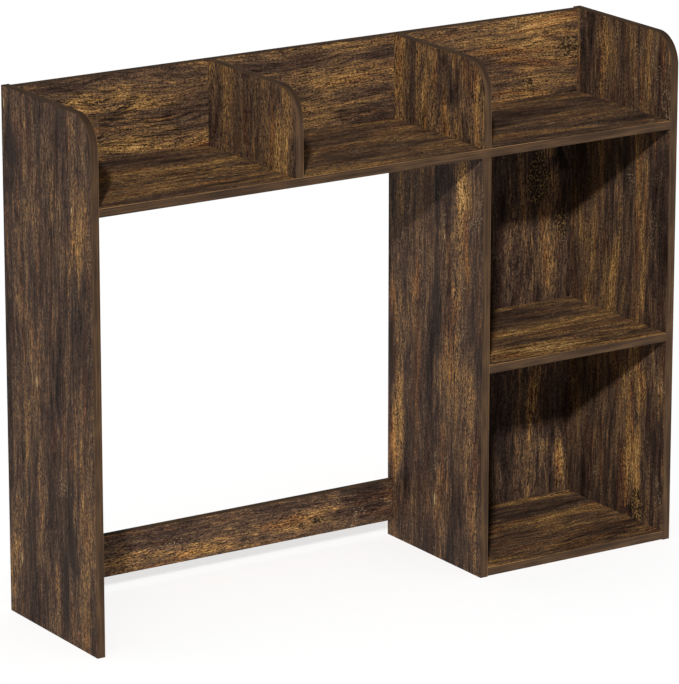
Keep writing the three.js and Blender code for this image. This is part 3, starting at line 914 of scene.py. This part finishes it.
def dress_board(piece, node, thickness, grain, rear=None):
    low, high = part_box(node)
    across = 3 - thickness - grain
    mesh = piece.data
    mesh.materials.clear()
    mesh.materials.append(prints[node])
    mesh.materials.append(rear or core)
    layer = mesh.uv_layers.new(name="Print")
    for polygon in mesh.polygons:
        facing = polygon.normal[thickness]
        level = polygon.center[thickness]
        near = min(level - low[thickness], high[thickness] - level) < EDGE_OF_FACE
        wide = near and abs(facing) > 0.3
        if rear and facing > 0.3:
            wide = False
        polygon.material_index = 0 if wide else 1
        shift = OTHER_FACE if facing > 0 else 0.0
        for loop in polygon.loop_indices:
            spot = mesh.vertices[mesh.loops[loop].vertex_index].co
            layer.data[loop].uv = (spot[grain] - low[grain], spot[across] - low[across] + shift)


def finish_piece(piece, slot, *replaced):
    """Tell the frame and the lights about a piece."""
    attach(piece, "root")
    if replaced:
        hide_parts(*replaced)
    lit_by_key.objects.link(piece)
    # The stretcher and its bands are all that shades the floor.
    if "rear_stretcher" in piece.name:
        shades_floor.objects.link(piece)
    print(piece.name, "faces:", len(piece.data.polygons))


def make_board(node, outline, thickness, grain, slot="rustic_board", rear=None, shy=0.0):
    """A finished board. A shy board stops that much short of the frame's high face."""
    low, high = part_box(node)
    body = prism(outline, thickness, low[thickness], high[thickness] - shy)
    ease_arrises(body, EASE)
    board = object_from(f"board_{node}", body)
    if holes[node]:
        cut_holes(board, holes[node])
    dress_board(board, node, thickness, grain, rear)
    finish_piece(board, slot, node)


print("boards to make:", len(holes))

# %% [markdown]
# ## The ten thick boards
#
# A board's name in the frame gives its box, so only the outline differs. Side panels and dividers
# are drawn from the side, shelves from above, and the backs from the front. The grain runs
# upwards on the side panels and dividers, and along the desk on all the others.

# %% Side panels, dividers, shelves and backs
# True where the front top corner is rounded.
UPRIGHTS = {"left_side_panel": True, "right_side_panel": True, "tower_side_panel": False,
            "left_divider": True, "right_divider": True}
for node, rounded in UPRIGHTS.items():
    low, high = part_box(node)
    outline = rectangle(low.y + BAND, low.z, high.y, high.z - (BAND if rounded else 0.0))
    if rounded:
        outline[3:] = corner_arc(low.y + CORNER_RADIUS, high.z - CORNER_RADIUS,
                                 CORNER_RADIUS - BAND)
    make_board(node, outline, thickness=0, grain=2)

SHELVES = ("top_shelf", "middle_shelf", "bottom_shelf")
for node in SHELVES:
    low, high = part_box(node)
    make_board(node, rectangle(low.x, low.y + BAND, high.x, high.y), thickness=2, grain=0)

for node, band_below in (("upper_back_panel", 0.0), ("rear_stretcher", BAND)):
    low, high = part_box(node)
    outline = rectangle(low.x, low.z + band_below, high.x, high.z - BAND)
    make_board(node, outline, thickness=1, grain=0)

# %% [markdown]
# ## The thin back
#
# The tower's back is hardboard under three millimetres thick: printed in front, bare behind. It
# is nailed, so its rear lies a hair lower than the nail heads.

# %% The hardboard back
NAIL_PROUD = 0.25 * MM
low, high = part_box("tower_back_panel")
make_board("tower_back_panel", rectangle(low.x, low.z, high.x, high.z), thickness=1, grain=2,
           slot="hardboard", rear=hardboard, shy=NAIL_PROUD)

# %% [markdown]
# ## Edge bands
#
# A band is a strip that follows an edge, round the corner too. In Geometry Nodes this is a path
# swept with a small section: the path is the edge's middle line, and the section is a flat
# rectangle whose two outer corners are rounded. The tree also stores how far each point is along
# the strip and across it as the UV map, which the finish reads for its lines and for the painted
# highlight along one arris. Inputs are named, so one tree serves every band.

# %% The band tree
def new_tree(name, inputs):
    tree = bpy.data.node_groups.new(name, "GeometryNodeTree")
    tree.is_modifier = True
    tree.interface.new_socket("Geometry", in_out="INPUT", socket_type="NodeSocketGeometry")
    for label, kind, value in inputs:
        socket = tree.interface.new_socket(label, in_out="INPUT", socket_type=f"NodeSocket{kind}")
        if value is not None:
            socket.default_value = value
    tree.interface.new_socket("Geometry", in_out="OUTPUT", socket_type="NodeSocketGeometry")
    return tree, add_node(tree, "NodeGroupInput").outputs


def end_tree(tree, geometry, material):
    whole = add_node(tree, "GeometryNodeRealizeInstances", {0: geometry}).outputs[0]
    painted = add_node(tree, "GeometryNodeSetMaterial", {"Geometry": whole, "Material": material})
    add_node(tree, "NodeGroupOutput", {0: painted.outputs[0]})


def store(tree, geometry, name, value, kind="FLOAT", domain="POINT"):
    inputs = {"Geometry": geometry, "Name": name, "Value": value}
    return add_node(tree, "GeometryNodeStoreNamedAttribute", inputs,
                    data_type=kind, domain=domain).outputs[0]


def recall(tree, name, kind="FLOAT"):
    return add_node(tree, "GeometryNodeInputNamedAttribute", {"Name": name},
                    data_type=kind).outputs[0]


def make_band_tree():
    tree, given = new_tree("edge_band", [
        ("Width", "Float", BOARD), ("Thickness", "Float", BAND), ("Corner", "Float", 0.3 * MM),
        ("Across", "Vector", (1.0, 0.0, 0.0)), ("Material", "Material", None)])
    path = add_node(tree, "GeometryNodeMeshToCurve", {"Mesh": given["Geometry"]}).outputs[0]
    path = add_node(tree, "GeometryNodeSetCurveNormal",
                    {"Curve": path, "Normal": given["Across"]}, mode="FREE").outputs[0]
    length = add_node(tree, "GeometryNodeSplineParameter").outputs["Length"]
    path = store(tree, path, "along", length)

    section = add_node(tree, "GeometryNodeCurvePrimitiveQuadrilateral",
                       {"Width": given["Width"], "Height": given["Thickness"]}).outputs[0]
    spot = add_node(tree, "ShaderNodeSeparateXYZ",
                    {0: add_node(tree, "GeometryNodeInputPosition").outputs[0]}).outputs
    outer = calculate(tree, "LESS_THAN", spot["Y"], 0.0)
    radius = multiply(tree, outer, given["Corner"])
    section = add_node(tree, "GeometryNodeFilletCurve",
                       {"Curve": section, "Count": 4, "Radius": radius}, mode="POLY").outputs[0]
    section = store(tree, section, "over", spot["X"])
    lift = add_node(tree, "ShaderNodeCombineXYZ",
                    {"Y": multiply(tree, given["Thickness"], 0.5)}).outputs[0]
    section = add_node(tree, "GeometryNodeSetPosition",
                       {"Geometry": section, "Offset": lift}).outputs[0]
    strip = add_node(tree, "GeometryNodeCurveToMesh",
                     {"Curve": path, "Profile Curve": section, "Fill Caps": True}).outputs[0]
    place = add_node(tree, "ShaderNodeCombineXYZ",
                     {"X": recall(tree, "along"), "Y": recall(tree, "over")}).outputs[0]
    strip = store(tree, strip, "Band", place, "FLOAT2", "CORNER")
    strip = add_node(tree, "GeometryNodeMergeByDistance",
                     {"Geometry": strip, "Distance": 0.001 * MM}).outputs[0]
    end_tree(tree, strip, given["Material"])
    return tree


def set_inputs(modifier, values):
    """Set a modifier's inputs by name, through each socket's identifier."""
    for item in modifier.node_group.interface.items_tree:
        if item.item_type == "SOCKET" and item.in_out == "INPUT" and item.name in values:
            modifier[item.identifier] = values[item.name]


def face_outwards(piece):
    body = bmesh.new()
    body.from_mesh(piece.data)
    bmesh.ops.remove_doubles(body, verts=body.verts, dist=0.0005 * MM)
    bmesh.ops.recalc_face_normals(body, faces=body.faces)
    body.to_mesh(piece.data)
    body.free()


band_tree = make_band_tree()
print("band tree has", len(band_tree.nodes), "nodes")

# %% [markdown]
# ## A band on every edge that shows
#
# The paths run so that the board lies on the left hand of the strip: up the front edge, over the
# rounded corner and back along the top for the side panels and dividers, and along the front for
# the shelves. The backs get a band on their long upper edge, and the stretcher on both.

# %% Bands along the edges
def add_band(name, points, across):
    body = bmesh.new()
    corners = [body.verts.new(point) for point in points]
    for first, second in zip(corners, corners[1:]):
        body.edges.new((first, second))
    band = object_from(name, body)
    modifier = band.modifiers.new("band", "NODES")
    modifier.node_group = band_tree
    set_inputs(modifier, {"Across": across, "Material": band_brown})
    settle(band)
    face_outwards(band)
    finish_piece(band, "edge_band")


for node, rounded in UPRIGHTS.items():
    low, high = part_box(node)
    middle = (low.x + high.x) / 2
    points = [(middle, low.y, low.z)]
    if rounded:
        arc = corner_arc(low.y + CORNER_RADIUS, high.z - CORNER_RADIUS, CORNER_RADIUS)
        points += [(middle, y, z) for y, z in reversed(arc)]
        points.append((middle, high.y, high.z))
    else:
        points.append((middle, low.y, high.z))
    add_band(f"band_{node}", points, (1.0, 0.0, 0.0))

for node in SHELVES:
    low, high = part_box(node)
    middle = (low.z + high.z) / 2
    add_band(f"band_{node}", [(high.x, low.y, middle), (low.x, low.y, middle)], (0.0, 0.0, 1.0))

for node, edge in (("upper_back_panel", "top"), ("rear_stretcher", "top"),
                   ("rear_stretcher", "bottom")):
    low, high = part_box(node)
    middle = (low.y + high.y) / 2
    points = [(high.x, middle, high.z), (low.x, middle, high.z)]
    if edge == "bottom":
        points = [(low.x, middle, low.z), (high.x, middle, low.z)]
    add_band(f"band_{node}_{edge}", points, (0.0, 1.0, 0.0))

# %% [markdown]
# ## Turned parts
#
# Bolts, screws, dowels and nails are turned: a profile of heights and radii spun about an axis.
# A helper spins the profile, and where a thread is asked for it lets the radius follow a helix,
# so that the ridge really climbs.

# %% One helper for everything turned
ROWS_PER_TURN = 6
FLANK_SLOPE = 1.6


def turned(name, profile, sides, thread=None, flute=0.0):
    """profile: (height, radius) pairs. thread: start, end, pitch and depth."""
    rows = list(profile)
    start, end, pitch, depth = thread or (0.0, -1.0, 1.0, 0.0)
    if thread:
        steps = int((end - start) / (pitch / ROWS_PER_TURN))
        for step in range(steps + 1):
            height = start + (end - start) * step / steps
            if min(abs(height - row[0]) for row in profile) < 0.02 * MM:
                continue
            above = next(pair for pair in profile if pair[0] >= height)
            below = [pair for pair in profile if pair[0] <= height][-1]
            share = (height - below[0]) / max(above[0] - below[0], 1e-9)
            rows.append((height, below[1] + (above[1] - below[1]) * min(share, 1.0)))
        rows.sort(key=lambda row: row[0])
    body = bmesh.new()
    rings = []
    for height, radius in rows:
        if radius <= 1e-7:
            rings.append([body.verts.new((0.0, 0.0, height))])
            continue
        ring = []
        for side in range(sides):
            angle = 2 * math.pi * side / sides
            reach = radius
            if start <= height <= end and radius > depth * 1.5:
                phase = (height / pitch + side / sides) % 1.0
                reach -= depth * min(1.0, abs(2 * phase - 1) * FLANK_SLOPE)
            if flute and side % 2:
                reach -= flute
            ring.append(body.verts.new((reach * math.cos(angle), reach * math.sin(angle), height)))
        rings.append(ring)
    for first, second in zip(rings, rings[1:]):
        for side in range(sides):
            after = (side + 1) % sides
            corners = []
            for vert in (first[side % len(first)], first[after % len(first)],
                         second[after % len(second)], second[side % len(second)]):
                if vert not in corners:
                    corners.append(vert)
            if len(corners) > 2:
                body.faces.new(corners)
    bmesh.ops.recalc_face_normals(body, faces=body.faces)
    return object_from(name, body)


print("turning helper ready")

# %% [markdown]
# ## Bolt, screw, dowel and nail
#
# Each part is made once, with its middle at the origin and its tip along Z. The rows are heights
# and radii in millimetres, from the lowest point up. The cam bolt has a thread, a collar, a shank
# and a thin neck under the head that the cam grips. The screw has a countersunk head with a cross.
# The dowel is fluted, so that glue and air can pass, and the panel pin is a small nail.

# %% The four turned parts
def add_block(body, low, high):
    size = Vector(high) - Vector(low)
    matrix = Matrix.Translation((Vector(low) + Vector(high)) / 2) @ Matrix.Diagonal((*size, 1.0))
    bmesh.ops.create_cube(body, size=1.0, matrix=matrix)


def scaled(rows, middle=0.0):
    """Rows written in millimetres, moved so that their middle is at the origin."""
    return [((height - middle) * MM, radius * MM) for height, radius in rows]


def add_cross(body, arm, half_width, low, high):
    """Two crossed blocks, to be cut out as a screwdriver's cross. Sizes in millimetres."""
    for half_x, half_y in ((arm, half_width), (half_width, arm)):
        add_block(body, (-half_x * MM, -half_y * MM, low * MM),
                  (half_x * MM, half_y * MM, high * MM))


BOLT_ROWS = [(-8.6, 0.0), (-8.6, 2.2), (-7.6, 3.0), (0.3, 3.0), (0.31, 3.5), (1.59, 3.5),
             (1.6, 2.6), (16.0, 2.6), (16.8, 1.8), (21.0, 1.8), (21.6, 3.0), (22.1, 3.2),
             (23.6, 3.2), (24.0, 2.8), (24.0, 0.0)]
bolt = turned("bolt_part", scaled(BOLT_ROWS, 7.7), 20,
              thread=(-16.2 * MM, -7.6 * MM, 1.4 * MM, 0.45 * MM))
cross = bmesh.new()
add_cross(cross, 2.0, 0.45, 15.2, 18.0)
subtract(bolt, cross)

SCREW_ROWS = [(0.1, 0.0), (0.1, 3.3), (0.35, 3.5), (2.3, 1.75), (9.0, 1.6), (9.5, 1.75),
              (34.0, 1.75), (38.0, 0.25), (38.0, 0.0)]
screw = turned("screw_part", scaled(SCREW_ROWS, 19.05), 20,
               thread=(-9.6 * MM, 16.5 * MM, 1.6 * MM, 0.55 * MM))
cross = bmesh.new()
add_cross(cross, 1.9, 0.42, -20.0, -17.4)
subtract(screw, cross)

DOWEL_ROWS = [(-15.0, 0.0), (-15.0, 2.0), (-14.0, 3.0), (14.0, 3.0), (15.0, 2.0), (15.0, 0.0)]
dowel = turned("dowel_part", scaled(DOWEL_ROWS), 32, flute=0.18 * MM)

NAIL_ROWS = [(-0.45, 0.0), (-0.45, 0.9), (-0.25, 1.4), (0.0, 1.4), (0.25, 0.55), (12.0, 0.55),
             (13.5, 0.1), (13.5, 0.0)]
nail = turned("nail_part", scaled(NAIL_ROWS, -0.45), 12)
print("turned parts:", [len(part.data.polygons) for part in (bolt, screw, dowel, nail)], "faces")

# %% [markdown]
# ## The cam
#
# A cam is a short zinc drum. A chamber in its side swallows the bolt's head through a narrower
# slot, and its open face has a cross for the screwdriver and a small arrow that points at the
# slot. It is carved from a drum with Booleans, with its open face towards Z and its slot towards X.

# %% One cam
drum = bmesh.new()
bmesh.ops.create_cone(drum, cap_ends=True, segments=40, radius1=CAM_RADIUS, radius2=CAM_RADIUS,
                      depth=CAM_HEIGHT)
ease_arrises(drum, 0.25 * MM)
cam = object_from("cam_part", drum)
carving = bmesh.new()
add_block(carving, (-1.2 * MM, -3.9 * MM, -6 * MM), (3.8 * MM, 3.9 * MM, 2.15 * MM))
add_block(carving, (3.0 * MM, -2.3 * MM, -6 * MM), (9.0 * MM, 2.3 * MM, 1.15 * MM))
add_cross(carving, 4.0, 0.7, 2.8, 6.0)
arrow = Matrix.Translation((5.6 * MM, 0.0, 5.0 * MM))
bmesh.ops.create_cone(carving, cap_ends=True, segments=3, radius1=1.1 * MM, radius2=1.1 * MM,
                      depth=1.0 * MM, matrix=arrow @ Matrix.Rotation(math.pi / 2, 4, "Z"))
subtract(cam, carving)
print("cam faces:", len(cam.data.polygons))

# %% [markdown]
# ## Putting the copies in
#
# All the copies of a part are one Geometry Nodes job: the piece's own mesh is a handful of loose
# points, and each point carries two vectors, where the part's tip looks and where its side looks.
# The tree turns the two into a rotation, puts the part on each point, and may spin it by a random
# amount about its own axis, from a fixed seed, since nobody lines up screw slots.

# %% The copying tree
def make_copy_tree():
    tree, given = new_tree("put_copies", [
        ("Part", "Object", None), ("Spin", "Float", 0.0), ("Seed", "Int", 7),
        ("Material", "Material", None)])
    turn = add_node(tree, "FunctionNodeAxesToRotation",
                    {0: recall(tree, "forward", "FLOAT_VECTOR"),
                     1: recall(tree, "side", "FLOAT_VECTOR")},
                    primary_axis="Z", secondary_axis="X").outputs[0]
    chance = add_node(tree, "FunctionNodeRandomValue",
                      {3: given["Spin"], "Seed": given["Seed"]}, data_type="FLOAT").outputs[1]
    spin = add_node(tree, "FunctionNodeAxisAngleToRotation",
                    {"Axis": (0.0, 0.0, 1.0), "Angle": chance}).outputs[0]
    turn = add_node(tree, "FunctionNodeRotateRotation", {0: turn, 1: spin},
                    rotation_space="LOCAL").outputs[0]
    part = add_node(tree, "GeometryNodeObjectInfo", {"Object": given["Part"]}).outputs["Geometry"]
    copies = add_node(tree, "GeometryNodeInstanceOnPoints",
                      {"Points": given["Geometry"], "Instance": part, "Rotation": turn}).outputs[0]
    end_tree(tree, copies, given["Material"])
    return tree


copy_tree = make_copy_tree()
print("copying tree has", len(copy_tree.nodes), "nodes")

# %% [markdown]
# ## Cams, bolts, dowels and screws in place
#
# Each place is a point with two directions. A cam faces out of its mouth, with its slot towards
# the bolt. A bolt and a dowel point into the end board, and a screw points the way it is driven.
# The frame's own simple fasteners are hidden, and the finer copies stand for them.

# %% The fasteners
def put_copies(name, part, places, material, slot, replaced=(), spin=0.0, seed=7):
    """places: (point, forward, side) for each copy."""
    points = bpy.data.meshes.new(name)
    points.from_pydata([place[0] for place in places], [], [])
    for label, column in (("forward", 1), ("side", 2)):
        attribute = points.attributes.new(label, "FLOAT_VECTOR", "POINT")
        for index, place in enumerate(places):
            attribute.data[index].vector = place[column]
    piece = bpy.data.objects.new(name, points)
    bpy.context.scene.collection.objects.link(piece)
    modifier = piece.modifiers.new("copies", "NODES")
    modifier.node_group = copy_tree
    set_inputs(modifier, {"Part": part, "Spin": spin, "Seed": seed, "Material": material})
    settle(piece)
    for label in ("forward", "side"):
        left = piece.data.attributes.get(label)
        if left:
            piece.data.attributes.remove(left)
    finish_piece(piece, slot, *replaced)


cam_places = []
for node in CAM_NODES:
    inward, mouth = joint_of(node)[2:]
    cam_places.append((centre_of(node), mouth, -inward))
put_copies("cam_locks", cam, cam_places, zinc, "cam_zinc", CAM_NODES)

bolt_places = [(centre_of(node), *joint_of(node)[2:]) for node in BOLT_NODES]
put_copies("cam_bolts", bolt, bolt_places, plated, "plated_steel", BOLT_NODES, 6.0, 3)

dowel_places = [(centre_of(node), *joint_of(node)[2:]) for node in DOWEL_NODES]
put_copies("dowels", dowel, dowel_places, beech, "beech", DOWEL_NODES, 1.0, 5)

for name, plan, replaced, seed in (("divider_screws", screw_places, SCREW_NODES, 11),
                                   ("upper_back_screws", back_screw_places, (), 13)):
    places = [(centre, heading, X_AXIS) for outer, inner, centre, heading in plan]
    put_copies(name, screw, places, plated, "plated_steel", replaced, 1.5, seed)

# %% [markdown]
# ## Nails in the thin back
#
# Panel pins hold the hardboard to every board edge that it covers, a hand's width apart. Their
# rows follow the middles of those edges.

# %% The panel pins
NAIL_SPACING = 0.095
NAIL_FROM_CORNER = 0.03
NAIL_FROM_SIDE = 0.035


def nail_row(start, end):
    start, end = Vector(start), Vector(end)
    count = max(2, round((end - start).length / NAIL_SPACING) + 1)
    return [start.lerp(end, index / (count - 1)) for index in range(count)]


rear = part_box("tower_back_panel")[1].y
left_x, right_x = centre_of("tower_side_panel").x, centre_of("right_side_panel").x
levels = [centre_of(node).z for node in ("bottom_shelf", "middle_shelf", "top_shelf")]
nail_spots = []
for x in (left_x, right_x):
    nail_spots += nail_row((x, rear, levels[0] + NAIL_FROM_CORNER),
                           (x, rear, levels[2] - NAIL_FROM_CORNER))
for level in levels:
    nail_spots += nail_row((left_x + NAIL_FROM_SIDE, rear, level),
                           (right_x - NAIL_FROM_SIDE, rear, level))
put_copies("back_nails", nail, [(spot, -Y_AXIS, X_AXIS) for spot in nail_spots],
           plated, "plated_steel", (), 1.5, 17)

for part in (bolt, screw, dowel, nail, cam):
    data = part.data
    bpy.data.objects.remove(part)
    bpy.data.meshes.remove(data)
print("nails:", len(nail_spots))
